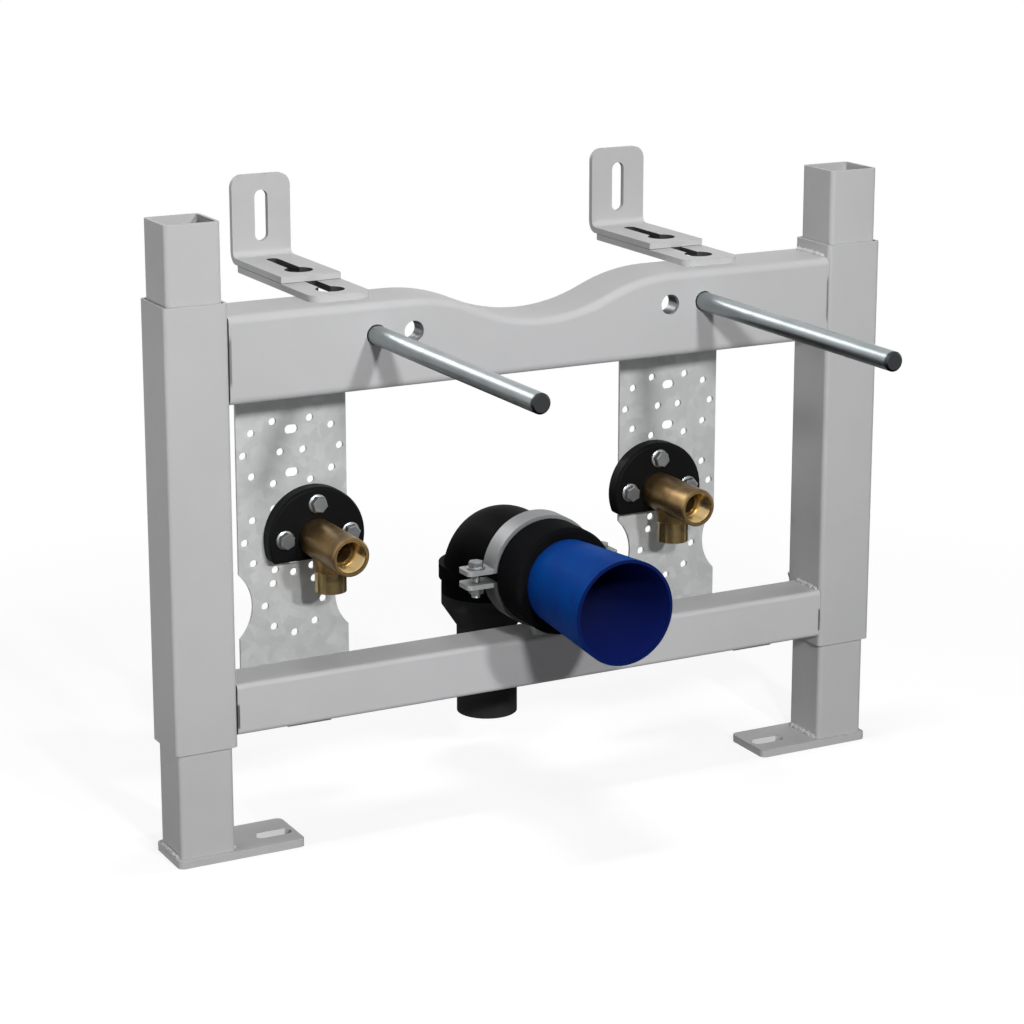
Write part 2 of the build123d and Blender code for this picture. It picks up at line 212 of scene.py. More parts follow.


# painted shade: a dark line at both ends of a bar, in the slit where its weld stops short
def makeGapGroup():
    group, source, sink = newGroup("weldGapShade", {"Colour": 0.5, "Gap Colour": 0.05},
                                   {"Start X": 0.2, "Middle Z": 0.1, "Half Height": 0.01, "Fade": 0.003})
    axes = objectAxes(group, (-1100, -200))
    side = addMath(group, "ABSOLUTE", (-700, -50), axes["X"])
    beyond = addMath(group, "GREATER_THAN", (-500, -50), side, source["Start X"])
    offset = addMath(group, "SUBTRACT", (-700, -300), axes["Z"], source["Middle Z"])
    reach = addMath(group, "ABSOLUTE", (-550, -300), offset)
    outer = addMath(group, "ADD", (-550, -500), source["Half Height"], source["Fade"])
    within = smoothRange(group, (-350, -300), reach, From_Min=source["Half Height"], From_Max=outer,
                         To_Min=1.0, To_Max=0.0)
    gap = addMath(group, "MULTIPLY", (-100, -150), beyond, within)
    return mixTone(group, source, sink, "Gap Colour", gap)


# what lies inside a circle round a front-to-back axis, on both sides of the frame
def makeBoreGroup():
    group, source, sink = newGroup("insideBore", {"Colour": 0.5, "Bore Colour": 0.3},
                                   {"Centre X": 0.0, "Centre Z": 0.1, "Radius": 0.01, "Taper": 0.0,
                                    "Back": 1.0})
    axes = objectAxes(group, (-1300, -200))
    flat = addNode(group, "ShaderNodeCombineXYZ", (-700, -100))
    centre = addNode(group, "ShaderNodeCombineXYZ", (-700, -300))
    away = addNode(group, "ShaderNodeVectorMath", (-500, -150), operation="DISTANCE")
    link = group.links.new
    link(addMath(group, "ABSOLUTE", (-900, -100), axes["X"]), flat.inputs["X"])
    link(axes["Z"], flat.inputs["Z"])
    link(source["Centre X"], centre.inputs["X"])
    link(source["Centre Z"], centre.inputs["Z"])
    link(flat.outputs["Vector"], away.inputs[0])
    link(centre.outputs["Vector"], away.inputs[1])
    # the radius changes along Y by the taper
    limit = addMath(group, "MULTIPLY_ADD", (-500, -350), axes["Y"], source["Taper"], source["Radius"])
    inside = addMath(group, "LESS_THAN", (-300, -150), away.outputs["Value"], limit)
    before = addMath(group, "LESS_THAN", (-300, -350), axes["Y"], source["Back"])
    bore = addMath(group, "MULTIPLY", (-100, -200), inside, before)
    return mixTone(group, source, sink, "Bore Colour", bore)


reliefGroup = makeReliefGroup()
cloudGroup = makeCloudGroup()
edgeGroup = makeEdgeGroup()
cavityGroup = makeCavityGroup()
punchGroup = makePunchGroup()
endGroup = makeEndGroup()
gapGroup = makeGapGroup()
boreGroup = makeBoreGroup()
print("shader groups ready")


def placeGroup(tree, group, place, **values):
    return setSockets(addNode(tree, "ShaderNodeGroup", place, node_tree=group), **values)


def layTone(tree, tone, group, place, **values):  # puts a group over the tone so far
    layer = placeGroup(tree, group, place, **values)
    tree.links.new(tone, layer.inputs["Colour"])
    return layer.outputs["Colour"]


def startMaterial(name, **shaderValues):
    material = bpy.data.materials.new(name)
    material.use_nodes = True
    tree = material.node_tree
    return material, tree, setSockets(tree.nodes["Principled BSDF"], **shaderValues)


def addBump(tree, height, shader, strength, distance):
    bump = setSockets(addNode(tree, "ShaderNodeBump", (-200, -350)), Strength=strength, Distance=distance)
    tree.links.new(height, bump.inputs["Height"])
    tree.links.new(bump.outputs["Normal"], shader.inputs["Normal"])


def spreadRoughness(tree, mask, shader, low, high):
    ramp = setSockets(addNode(tree, "ShaderNodeMapRange", (-300, -100)), To_Min=low, To_Max=high)
    tree.links.new(mask, ramp.inputs["Value"])
    tree.links.new(ramp.outputs["Result"], shader.inputs["Roughness"])


def shade(colour, factor=1.0):
    return tuple(channel * factor for channel in colour) + (1.0,)


# values for a finish that doesn't give its own
plainLook = {"secondFactor": 0.9, "patchRate": 14.0, "patches": 0.5, "edgeWidth": 0.0012, "edgeAmount": 0.6,
             "waviness": 0.3, "cavity": 0.3, "cavityReach": 0.01, "cavityOpen": 0.62, "cavityClosed": 0.2,
             "bumpDepth": 0.0004}


# coated, moulded and zinc finishes, with painted shade in hollows, and a bore tone, painted light or shade on
# punched walls, painted shade in a weld gap or at a rim where the look has one
def makeFinish(name, ownLook):
    look = {**plainLook, **ownLook}
    colour = look["colour"]
    material, tree, shader = startMaterial(name, **look["shader"])
    cloud = placeGroup(tree, cloudGroup, (-900, 250), Colour=shade(colour),
                       Second_Colour=shade(look.get("second", colour), look["secondFactor"]),
                       Patch_Rate=look["patchRate"], Amount=look["patches"])
    relief = placeGroup(tree, reliefGroup, (-900, -250), Grain_Size=look["grain"], Waviness=look["waviness"])
    tone = layTone(tree, cloud.outputs["Colour"], edgeGroup, (-600, 250), Width=look["edgeWidth"],
                   Edge_Colour=shade(look["edge"]), Amount=look["edgeAmount"])
    if "bore" in look:
        hollow = look["bore"]
        tone = layTone(tree, tone, boreGroup, (-450, 450), Bore_Colour=shade(hollow["colour"]),
                       Centre_Z=hollow["height"] / 1000, Taper=hollow["taper"],
                       Radius=hollow["radius"] / 1000 - hollow["taper"] * at(0, hollow["front"], 0).y)
    # painted shade in the hollows of every finish
    tone = layTone(tree, tone, cavityGroup, (-300, 250), Reach=look["cavityReach"], Open=look["cavityOpen"],
                   Closed=look["cavityClosed"],
                   Cavity_Colour=shade(look.get("cavityColour", colour), look["cavity"]))
    if "punched" in look:
        hole = look["punched"]
        tone = layTone(tree, tone, punchGroup, (-100, 250), Wall_Colour=shade(colour, hole["tone"]),
                       Centre_X=hole["x"] / 1000, Half_Width=hole["halfWidth"] / 1000,
                       Front=at(0, hole["front"], 0).y, Back=at(0, hole["back"], 0).y)
    if "gap" in look:
        line = look["gap"]
        tone = layTone(tree, tone, gapGroup, (-100, 450), Gap_Colour=shade(colour, line["tone"]),
                       Start_X=line["x"] / 1000, Middle_Z=line["middle"] / 1000,
                       Half_Height=line["halfHeight"] / 1000, Fade=line["fade"] / 1000)
    if "rim" in look:
        rim = look["rim"]
        tone = layTone(tree, tone, endGroup, (-100, 450), End_Colour=shade(rim["colour"]),
                       Full=at(0, rim["full"], 0).y, Fade=at(0, rim["fade"], 0).y)
    tree.links.new(tone, shader.inputs["Base Color"])
    spreadRoughness(tree, relief.outputs["Mask"], shader, *look["roughness"])
    addBump(tree, relief.outputs["Height"], shader, look["bump"], look["bumpDepth"])
    return material


# grey paint; places are in millimetres
# the lighter edge is thin paint together with a painted highlight along rounded edges
paint = {"colour": (0.515, 0.515, 0.52), "edge": (0.60, 0.60, 0.605), "roughness": (0.38, 0.54), "grain": 1.1,
         "patches": 0.45, "secondFactor": 0.93, "bump": 0.10, "cavity": 0.25, "cavityOpen": 0.5,
         "cavityClosed": 0.15, "shader": {"Specular_IOR_Level": 0.15}}
# painted shade in the slits at the ends of the beam and the rail
beamPaint = dict(paint, gap={"x": 208.7, "middle": 309.5, "halfHeight": 11.0, "fade": 6.0, "tone": 0.45})
railPaint = dict(paint, colour=(0.54, 0.54, 0.545),
                 gap={"x": 208.7, "middle": 91.0, "halfHeight": 6.5, "fade": 2.0, "tone": 0.25})
legPaint = dict(paint, patchRate=20.0)
footPaint = dict(legPaint, colour=(0.52, 0.52, 0.525), edge=(0.57, 0.57, 0.575), patches=0.7,
                 shader={"Specular_IOR_Level": 0.04},  # and painted light on the walls in the slot
                 punched={"x": 181.5, "halfWidth": 9.5, "front": 12.0, "back": 23.0, "tone": 1.5})
bracketPaint = dict(paint, colour=(0.54, 0.54, 0.545), edge=(0.55, 0.55, 0.555), patchRate=26.0,
                    # painted shade on the keyhole walls
                    punched={"x": 130.5, "halfWidth": 9.6, "front": 63.0, "back": 129.0, "tone": 0.10})
basePaint = dict(bracketPaint, punched=dict(bracketPaint["punched"], front=16.0, back=134.0))
weldPaint = dict(paint, colour=(0.51, 0.51, 0.515), grain=0.8, bump=0.3, roughness=(0.34, 0.5))

# zinc plate; the clamp band is darker than its bright ears, and on the lower half painted shade darkens the
# band
zincBolt = {"colour": (0.30, 0.315, 0.32), "second": (0.20, 0.21, 0.215), "edge": (0.55, 0.56, 0.56),
            "patchRate": 60.0, "roughness": (0.30, 0.46), "grain": 0.6, "bump": 0.06,
            "shader": {"Metallic": 0.8}}
clampBand = {"colour": (0.285, 0.29, 0.295), "height": 154.0, "radius": 36.6, "taper": 0.0, "front": 0.0}
clampZinc = dict(zincBolt, colour=(0.46, 0.465, 0.47), second=(0.36, 0.365, 0.37), roughness=(0.40, 0.54),
                 patchRate=40.0, bore=clampBand, shader={"Metallic": 0.5})
lowerClampZincShade = dict(clampZinc, bore=dict(clampBand, colour=(0.12, 0.122, 0.125)))

# black holders, drain and seal
blackMoulding = {"colour": (0.0062, 0.0062, 0.0066), "second": (0.0095, 0.0095, 0.010), "secondFactor": 1.0,
                 "edge": (0.012, 0.012, 0.012), "edgeAmount": 0.3, "roughness": (0.42, 0.56), "grain": 0.9,
                 "bump": 0.1, "shader": {"Specular_IOR_Level": 0.05}}
drainPipe = dict(blackMoulding, colour=(0.0046, 0.0046, 0.0048), second=(0.0070, 0.0070, 0.0072),
                 roughness=(0.40, 0.54), patchRate=22.0, shader={"Specular_IOR_Level": 0.008})
# lighter than the bend: painted sheen in place of reflections on the reducer
reducerPipeSheen = dict(drainPipe, colour=(0.034, 0.034, 0.035), second=(0.044, 0.044, 0.045))
sealRubber = dict(blackMoulding, colour=(0.0044, 0.0046, 0.0054), roughness=(0.60, 0.75), grain=0.6,
                  shader={"Specular_IOR_Level": 0.01})

# blue cap, with painted shade inside, in its hollows, at its rim and along its edges
capFront = (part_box("protective_cap")[0][1] - frontY) * 1000
bluePlastic = {"colour": (0.002, 0.056, 0.28), "second": (0.010, 0.022, 0.165), "secondFactor": 1.0,
               "edge": (0.004, 0.014, 0.10), "edgeAmount": 1.2, "edgeWidth": 0.0016, "patchRate": 16.0,
               "patches": 0.75, "roughness": (0.36, 0.46), "grain": 0.4, "waviness": 0.6, "bump": 0.015,
               "cavityColour": (0.011, 0.016, 0.080), "cavity": 1.0, "cavityReach": 0.05, "cavityOpen": 0.80,
               "cavityClosed": 0.30, "shader": {"Specular_IOR_Level": 0.006},
               "bore": {"colour": (0.009, 0.019, 0.160), "height": 154.0, "radius": 32.0, "taper": -0.0746,
                        "front": capFront},
               "rim": {"colour": (0.004, 0.012, 0.085), "full": capFront + 0.2, "fade": capFront + 1.2}}

finishes = {name: makeFinish(name, look) for name, look in {
    "greyPaint": paint, "greyLegPaint": legPaint, "greyFootPaint": footPaint,
    "greyBracketPaint": bracketPaint, "greyBasePaint": basePaint, "greyBeamPaint": beamPaint,
    "greyRailPaint": railPaint, "weldUnderPaint": weldPaint, "zincBolt": zincBolt, "clampZinc": clampZinc,
    "lowerClampZincShade": lowerClampZincShade, "blackMoulding": blackMoulding, "drainPipe": drainPipe,
    "reducerPipeSheen": reducerPipeSheen, "sealRubber": sealRubber, "bluePlastic": bluePlastic}.items()}


# galvanised sheet with its crystals
galvanised = {"colour": (0.64, 0.65, 0.645), "crystal": (0.545, 0.56, 0.555), "cloud": (0.46, 0.47, 0.465),
              "crystalRate": 150.0, "patchRate": 18.0, "patches": 0.5, "roughness": (0.42, 0.60),
              "metallic": 0.15, "grain": 1.6, "waviness": 0.5, "bump": 0.08, "bumpDepth": 0.0003}


def makeGalvanised(look):
    material, tree, shader = startMaterial("galvanisedSheet", Metallic=look["metallic"])
    coords = addNode(tree, "ShaderNodeTexCoord", (-1300, 100))
    crystals = setSockets(addNode(tree, "ShaderNodeTexVoronoi", (-1100, 200)), Scale=look["crystalRate"],
                          Randomness=1.0)
    pick = addNode(tree, "ShaderNodeSeparateColor", (-950, 0))
    crystalTone = setSockets(addNode(tree, "ShaderNodeMix", (-800, 250), data_type="RGBA"),
                             A=shade(look["colour"]), B=shade(look["crystal"]))
    relief = placeGroup(tree, reliefGroup, (-900, -250), Grain_Size=look["grain"], Waviness=look["waviness"])
    link = tree.links.new
    link(coords.outputs["Object"], crystals.inputs["Vector"])
    link(crystals.outputs["Color"], pick.inputs["Color"])
    link(pick.outputs["Red"], crystalTone.inputs["Factor"])
    tone = layTone(tree, crystalTone.outputs["Result"], cloudGroup, (-600, 250),
                   Second_Colour=shade(look["cloud"]), Patch_Rate=look["patchRate"], Amount=look["patches"])
    link(tone, shader.inputs["Base Color"])
    spreadRoughness(tree, pick.outputs["Green"], shader, *look["roughness"])
    addBump(tree, relief.outputs["Height"], shader, look["bump"], look["bumpDepth"])
    return material


# zinc plated stud with a fine rolled thread, and painted shade on its cut end
zincStud = {"colour": (0.32, 0.35, 0.355), "second": (0.25, 0.28, 0.285), "tipShade": (0.045, 0.048, 0.05),
            "patchRate": 35.0, "patches": 0.6, "roughness": (0.26, 0.38), "grain": 0.7, "waviness": 0.3,
            "pitch": 1.75, "threadBump": 0.10, "threadDepth": 0.0005, "tip": -208.0, "tipShadeFull": 1.0,
            "tipShadeFade": 3.2}
bandsPerScale = 20 / (2 * math.pi)  # bands of a wave texture in one metre at scale 1


def makeStud(look):
    material, tree, shader = startMaterial("zincStud", Metallic=1.0)
    coords = addNode(tree, "ShaderNodeTexCoord", (-1100, -300))
    thread = addNode(tree, "ShaderNodeTexWave", (-800, -300), wave_type="BANDS", bands_direction="Y",
                     wave_profile="TRI")
    setSockets(thread, Scale=1000.0 / look["pitch"] / bandsPerScale)  # one band for each turn
    tree.links.new(coords.outputs["Object"], thread.inputs["Vector"])
    cloud = placeGroup(tree, cloudGroup, (-700, 250), Colour=shade(look["colour"]),
                       Second_Colour=shade(look["second"]), Patch_Rate=look["patchRate"],
                       Amount=look["patches"])
    relief = placeGroup(tree, reliefGroup, (-800, 0), Grain_Size=look["grain"], Waviness=look["waviness"])
    tone = layTone(tree, cloud.outputs["Colour"], endGroup, (-400, 400), End_Colour=shade(look["tipShade"]),
                   Full=at(0, look["tip"] + look["tipShadeFull"], 0).y,
                   Fade=at(0, look["tip"] + look["tipShadeFade"], 0).y)
    tree.links.new(tone, shader.inputs["Base Color"])
    spreadRoughness(tree, relief.outputs["Mask"], shader, *look["roughness"])
    addBump(tree, thread.outputs["Fac"], shader, look["threadBump"], look["threadDepth"])
    return material


# brass casting, bright where the socket and the outlet are machined
brass = {"colour": (0.34, 0.220, 0.092), "second": (0.155, 0.095, 0.038), "machined": (0.60, 0.435, 0.20),
         "edge": (0.50, 0.36, 0.18), "edgeWidth": 0.001, "edgeAmount": 0.6, "patchRate": 60.0,
         "patches": 0.85, "castRoughness": 0.38, "machinedRoughness": 0.20, "metallic": 0.9, "grain": 1.4,
         "waviness": 0.15, "bump": 0.10, "bumpDepth": 0.0004, "x": 125.0, "height": 174.5,
         "boreReach": 10.9, "boreEnd": 36.0, "outletTop": 158.6}


def makeBrass(look):
    material, tree, shader = startMaterial("castBrass", Metallic=look["metallic"])
    axes = objectAxes(tree, (-1300, 500))
    bore = placeGroup(tree, boreGroup, (-800, 600), Centre_X=look["x"] / 1000, Centre_Z=look["height"] / 1000,
                      Radius=look["boreReach"] / 1000, Back=at(0, look["boreEnd"], 0).y)
    outlet = addMath(tree, "LESS_THAN", (-800, 350), axes["Z"], look["outletTop"] / 1000)
    machined = addMath(tree, "MAXIMUM", (-400, 500), bore.outputs["Mask"], outlet)
    cloud = placeGroup(tree, cloudGroup, (-900, 150), Colour=shade(look["colour"]),
                       Second_Colour=shade(look["second"]), Patch_Rate=look["patchRate"],
                       Amount=look["patches"])
    cast = layTone(tree, cloud.outputs["Colour"], edgeGroup, (-650, 200), Edge_Colour=shade(look["edge"]),
                   Width=look["edgeWidth"], Amount=look["edgeAmount"])
    relief = placeGroup(tree, reliefGroup, (-900, -250), Grain_Size=look["grain"], Waviness=look["waviness"])
    tone = setSockets(addNode(tree, "ShaderNodeMix", (-250, 300), data_type="RGBA"),
                      B=shade(look["machined"]))
    tree.links.new(machined, tone.inputs["Factor"])
    tree.links.new(cast, tone.inputs["A"])
    tree.links.new(tone.outputs["Result"], shader.inputs["Base Color"])
    spreadRoughness(tree, machined, shader, look["castRoughness"], look["machinedRoughness"])
    addBump(tree, relief.outputs["Height"], shader, look["bump"], look["bumpDepth"])
    return material


finishes["galvanisedSheet"] = makeGalvanised(galvanised)
finishes["zincStud"] = makeStud(zincStud)
finishes["castBrass"] = makeBrass(brass)
print("finishes ready:", len(finishes))

# finish of every CAD node
nodeFinish = {
    "upper_beam": "greyBeamPaint", "lower_rail": "greyRailPaint", "stud_nuts": "zincBolt",
    "drain_reducer": "reducerPipeSheen", "drain_bend": "drainPipe", "drain_seal": "sealRubber",
    "protective_cap": "bluePlastic", "clamp_upper_half": "clampZinc", "clamp_lower_half": "lowerClampZincShade",
    "clamp_stem": "zincBolt"}
pairFinish = {  # nodes that are there on the left and on the right
    "sleeve": "greyPaint", "leg": "greyLegPaint", "foot_plate": "greyFootPaint",
    "bracket_base": "greyBasePaint", "wall_bracket": "greyBracketPaint", "mounting_plate": "galvanisedSheet",
    "plate_upper_flange": "galvanisedSheet", "plate_lower_flange": "galvanisedSheet", "stud": "zincStud",
    "elbow_holder": "blackMoulding", "wall_elbow": "castBrass"}
for side, sign in sides:
    nodeFinish.update({f"{side}_{name}": finish for name, finish in pairFinish.items()})
for nodeName, finishName in nodeFinish.items():
    mesh = nodes[nodeName].data
    mesh.materials.clear()
    mesh.materials.append(finishes[finishName])
print("CAD nodes finished:", len(nodeFinish))


# small pieces added to the frame
def finishPiece(name, mesh, finish, body, smoothAngle=35.0):
    piece = bpy.data.objects.new(name, mesh)
    bpy.context.scene.collection.objects.link(piece)
    mesh.materials.append(finishes[finish])
    for polygon in mesh.polygons:
        polygon.use_smooth = True
    mesh.set_sharp_from_angle(angle=math.radians(smoothAngle))
    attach(piece, body)


def circlePoints(radius, count, turn=0.0):
    angles = [2 * math.pi * i / count + turn for i in range(count)]
    return [(radius * math.cos(angle), radius * math.sin(angle)) for angle in angles]


def sideAxes(axis):
    helper = Vector((0, 0, 1)) if abs(axis.z) < 0.9 else Vector((1, 0, 0))
    across = axis.cross(helper).normalized()
    return across, axis.cross(across).normalized()


def addRing(bm, centre, across, up, points):
    return [bm.verts.new(centre + across * x + up * y) for x, y in points]


def skinRings(bm, rings):  # faces between neighbouring rings, and a cap at each end
    for first, second in zip(rings, rings[1:]):
        for i in range(len(first)):
            j = (i + 1) % len(first)
            bm.faces.new((first[i], first[j], second[j], second[i]))
    bm.faces.new(list(reversed(rings[0])))
    bm.faces.new(rings[-1])


def turnedRings(bm, centre, axis, profile, count=32, turn=0.0):  # profile of radius and height
    across, up = sideAxes(axis)
    skinRings(bm, [addRing(bm, centre + axis * height, across, up, circlePoints(radius, count, turn))
                   for radius, height in profile])


hexChamfer = {"size": 0.12, "drop": 0.45, "inset": 0.55}  # shares of the width across flats, then of the size


def hexHead(bm, centre, axis, flats, bottom, top, turn=0.0):
    corner = flats / math.sqrt(3)
    chamfer = hexChamfer["size"] * flats
    profile = [(corner, bottom), (corner, top - chamfer * hexChamfer["drop"]),
               (corner - chamfer * hexChamfer["inset"], top)]
    turnedRings(bm, centre, axis, profile, 6, turn)


def closeMesh(bm, name):
    bmesh.ops.recalc_face_normals(bm, faces=bm.faces)
    mesh = bpy.data.meshes.new(name)
    bm.to_mesh(mesh)
    bm.free()
    return mesh


# flanged bolt heads of the elbow holders; the flange is given as shares of its radius, with heights
holderBolt = {"flats": 0.0092, "flange": 0.0061, "headHeight": 0.0056, "headSink": 0.0002, "headTurn": 0.3,
              "flangeProfile": ((0.97, -0.0002), (1.0, 0.0003), (1.0, 0.0009), (0.86, 0.0014)),
              "circle": 22.5, "places": {"top": 90, "outer": 176, "inner": 4},  # angles in degrees
              "x": 125.0, "height": 174.5, "face": 70.0}


def makeHolderBolts(look):
    axis = Vector((0, -1, 0))
    flange = [(look["flange"] * share, height) for share, height in look["flangeProfile"]]
    headBottom = flange[-1][1] - look["headSink"]
    for side, sign in sides:
        for place, angle in look["places"].items():
            spin = math.radians(angle)
            centre = at(sign * look["x"] + look["circle"] * math.cos(spin), look["face"],
                        look["height"] + look["circle"] * math.sin(spin))
            bm = bmesh.new()
            turnedRings(bm, centre, axis, flange)
            hexHead(bm, centre, axis, look["flats"], headBottom, look["headHeight"], look["headTurn"] * angle)
            finishPiece(f"{side}_holder_bolt_{place}", closeMesh(bm, "holderBolt"), "zincBolt", "frame")


makeHolderBolts(holderBolt)
print("holder bolts placed")

# clamp screws through both ears, with a nut below
clampScrew = {"x": 45.0, "depth": 7.5, "earTop": 160.0, "earBottom": 148.0, "flats": 0.0085, "washer": 0.0058,
              "washerProfile": ((0.97, 0.0), (1.0, 0.0003), (1.0, 0.0009), (0.95, 0.0012)),
              "headHeight": 0.0046, "headTurn": 0.4, "nutHeight": 0.0046, "nutTurn": 0.1, "shank": 0.0028,
              "root": 0.9, "around": 20, "tail": 0.0070, "halfPitch": 0.0005}


def makeClampScrews(look):
    up, down = Vector((0, 0, 1)), Vector((0, 0, -1))
    washer = [(look["washer"] * share, height) for share, height in look["washerProfile"]]
    for side, sign in sides:
        top = at(sign * look["x"], look["depth"], look["earTop"])
        bottom = at(sign * look["x"], look["depth"], look["earBottom"])
        bm = bmesh.new()
        turnedRings(bm, top, up, washer)
        hexHead(bm, top, up, look["flats"], washer[-1][1], look["headHeight"], look["headTurn"])
        steps = int(((top - bottom).length + look["tail"]) / look["halfPitch"])
        thread = [(look["shank"] * (1.0 if i % 2 else look["root"]), look["halfPitch"] * i)
                  for i in range(steps + 1)]
        turnedRings(bm, bottom + down * look["tail"], up, thread, look["around"])
        hexHead(bm, bottom, down, look["flats"], 0.0, look["nutHeight"], look["nutTurn"])
        finishPiece(f"{side}_clamp_screw", closeMesh(bm, "clampScrew"), "zincBolt", "frame")


makeClampScrews(clampScrew)
print("clamp screws placed")

# lock screws of the telescopic posts, in nuts welded to the back of the sleeves
lockScrew = {"x": 230.0, "depth": 40.0, "height": 105.0, "nutFlats": 0.017, "nut": (-0.0002, 0.008),
             "headFlats": 0.013, "head": (0.0142, 0.0198), "headTurn": 0.25, "crest": 0.004, "root": 0.0036,
             "threadStart": 0.0074, "halfPitch": 0.0006, "steps": 13, "around": 20}


def makeLockScrews(look):
    axis = Vector((0, 1, 0))
    thread = [(look["crest"] if i % 2 else look["root"], look["threadStart"] + look["halfPitch"] * i)
              for i in range(look["steps"])]
    for side, sign in sides:
        centre = at(sign * look["x"], look["depth"], look["height"])
        bm = bmesh.new()
        hexHead(bm, centre, axis, look["nutFlats"], *look["nut"])
        turnedRings(bm, centre, axis, thread, look["around"])
        hexHead(bm, centre, axis, look["headFlats"], *look["head"], look["headTurn"])
        finishPiece(f"{side}_lock_screw", closeMesh(bm, "lockScrew"), "zincBolt", "frame")


makeLockScrews(lockScrew)
print("lock screws placed")

# rippled weld beads: start and end in millimetres, with X counted outwards, and radius in metres
weld = {"ripple": 2.6, "stepsPerMm": 3, "leastSteps": 12, "sides": 12, "base": 0.72, "swell": 0.20,
        "sway": 0.12, "swayRate": 2.3, "swayStart": 1.0, "drift": 0.075, "driftRate": 1.7, "tip": 0.02,
        "smoothAngle": 50.0}
frameBeads = {"beam_weld_top": ((210, 6, 337), (210, 38, 337), 0.0024),
              "rail_weld_top": ((210, 4, 111), (210, 29, 111), 0.0024),
              "rail_weld_back": ((210, 32, 83), (210, 32, 108), 0.0024)}
footBeads = {"foot_weld_inner": ((212.5, 5, 5.2), (212.5, 35, 5.2), 0.0026),
             "foot_weld_outer": ((248.2, 6, 5.1), (248.2, 34, 5.1), 0.0019),
             "foot_weld_back": ((216, 37.4, 5.1), (244, 37.4, 5.1), 0.0019)}


def weldBead(name, start, end, radius, body):
    along = end - start
    length = along.length
    across, up = sideAxes(along.normalized())
    steps = max(weld["leastSteps"], int(length * 1000 * weld["stepsPerMm"]))
    bm = bmesh.new()
    rings = []
    for i in range(steps + 1):
        share = i / steps
        travel = share * length * 1000 / weld["ripple"]
        pulse = (weld["base"] + weld["swell"] * (1 - (travel % 1.0)) ** 0.5
                 + weld["sway"] * math.sin(travel * weld["swayRate"] + weld["swayStart"]))
        taper = min(1.0, math.sqrt(max(0.0, min(share, 1 - share)) * length / radius + weld["tip"]))
        drift = radius * weld["drift"] * math.sin(travel * weld["driftRate"])
        centre = start + along * share + across * drift
        rings.append(addRing(bm, centre, across, up, circlePoints(radius * pulse * taper, weld["sides"])))
    skinRings(bm, rings)
    finishPiece(name, closeMesh(bm, name), "weldUnderPaint", body, weld["smoothAngle"])


def layBeads(beads, side, sign, body):
    for name, (start, end, radius) in beads.items():
        first, last = (at(sign * x, depth, z) for x, depth, z in (start, end))
        weldBead(f"{side}_{name}", first, last, radius, body)


for side, sign in sides:
    layBeads(frameBeads, side, sign, "frame")
    layBeads(footBeads, side, sign, f"{side}_leg")
print("weld beads laid")

# thread inside the water sockets; the profile gives radius and share of the pitch
socketThread = {"x": 125.0, "height": 174.5, "mouth": 20.2, "pitch": 1.814, "turns": 7, "around": 40,
                "profile": ((10.0, 0.0), (9.1, 0.42), (9.1, 0.58), (10.0, 1.0)), "smoothAngle": 30.0}


def makeSocketThread(look):
    axis = Vector((0, 1, 0))
    across, up = sideAxes(axis)
    around, pitch = look["around"], look["pitch"]
    for side, sign in sides:
        centre = at(sign * look["x"], look["mouth"], look["height"])
        bm = bmesh.new()
        rows = []
        for step in range(look["turns"] * around + 1):
            spin = 2 * math.pi * step / around
            outwards = across * math.cos(spin) + up * math.sin(spin)
            lead = pitch * step / around / 1000
            row = [(centre + axis * (lead + pitch * share / 1000), radius / 1000)
                   for radius, share in look["profile"]]
            rows.append([bm.verts.new(place + outwards * reach) for place, reach in row])
        skinRings(bm, rows)
        finishPiece(f"{side}_socket_thread", closeMesh(bm, "socketThread"), "castBrass", "frame",
                    look["smoothAngle"])


makeSocketThread(socketThread)
print("socket threads cut")

# floor and light
stageLook = {"floor": (0.25, 0.25, 0.252), "floorHalf": 6.0, "floorGlow": 0.79, "whiteFrom": 0.45,
             "whiteTo": 0.85, "ambient": 0.05, "ambientColour": (0.97, 0.98, 1.0)}
lampTarget = Vector((0, 0, 0.2))
lampLook = {  # name: place, width and height, power
    "keySoftbox": ((0.08, -1.45, 0.80), (0.08, 0.08), 10.0),
    "secondSoftbox": ((-0.22, -1.0, 0.66), (0.07, 0.07), 6.0),
    "leftSoftbox": ((-0.80, 0.05, 0.26), (0.6, 0.6), 1.8),
    "rightSoftbox": ((2.0, 1.1, 0.8), (0.8, 1.0), 12.0),
    "topSoftbox": ((0.0, 0.03, 2.3), (0.5, 0.16), 16.0),
    "backSoftbox": ((-0.6, 1.9, 1.3), (0.6, 0.8), 9.0)}


def seenDirectly(tree, place):  # 1 for camera, glossy and transmission rays
    rays = addNode(tree, "ShaderNodeLightPath", place).outputs
    both = addMath(tree, "MAXIMUM", (place[0] + 250, place[1]), rays["Is Camera Ray"], rays["Is Glossy Ray"])
    return addMath(tree, "MAXIMUM", (place[0] + 450, place[1]), both, rays["Is Transmission Ray"])


def addToScene(name, data):
    thing = bpy.data.objects.new(name, data)
    bpy.context.scene.collection.objects.link(thing)
    return thing


